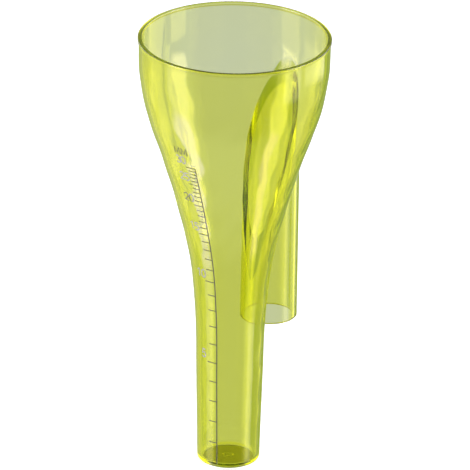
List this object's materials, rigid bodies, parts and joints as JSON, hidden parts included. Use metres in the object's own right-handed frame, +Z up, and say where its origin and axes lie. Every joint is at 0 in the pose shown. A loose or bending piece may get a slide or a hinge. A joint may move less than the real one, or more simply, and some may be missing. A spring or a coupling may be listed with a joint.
{
  "type": "pole-mounted rain gauge",
  "caption": "Clear plastic rain gauge: round cup, flared shoulder, slim measuring tube with a printed millimetre scale, and a sleeve for a pole.",
  "frame": {"origin": "middle of the base, on the surface that the gauge stands on", "axes": "+Z up along the vessel's axis, +Y towards the pole sleeve at the back, -Y towards the printed scale, +X to the right as the scale is read"},
  "size_m": [0.088, 0.088, 0.208],
  "materials": {
    "clear_plastic": "polished, see-through yellow-green tint",
    "printed_ink": "thin grey pad print"
  },
  "bodies": {
    "root": {"gauge_body": "clear_plastic", "pole_sleeve": "clear_plastic", "scale_rule": "printed_ink", "number_5_digit_1": "printed_ink", "number_10_digit_1": "printed_ink", "number_10_digit_2": "printed_ink", "number_15_digit_1": "printed_ink", "number_15_digit_2": "printed_ink", "number_20_digit_1": "printed_ink", "number_20_digit_2": "printed_ink", "number_25_digit_1": "printed_ink", "number_25_digit_2": "printed_ink", "number_30_digit_1": "printed_ink", "number_30_digit_2": "printed_ink", "unit_letter_1": "printed_ink", "unit_letter_2": "printed_ink"}
  },
  "joints": []
}
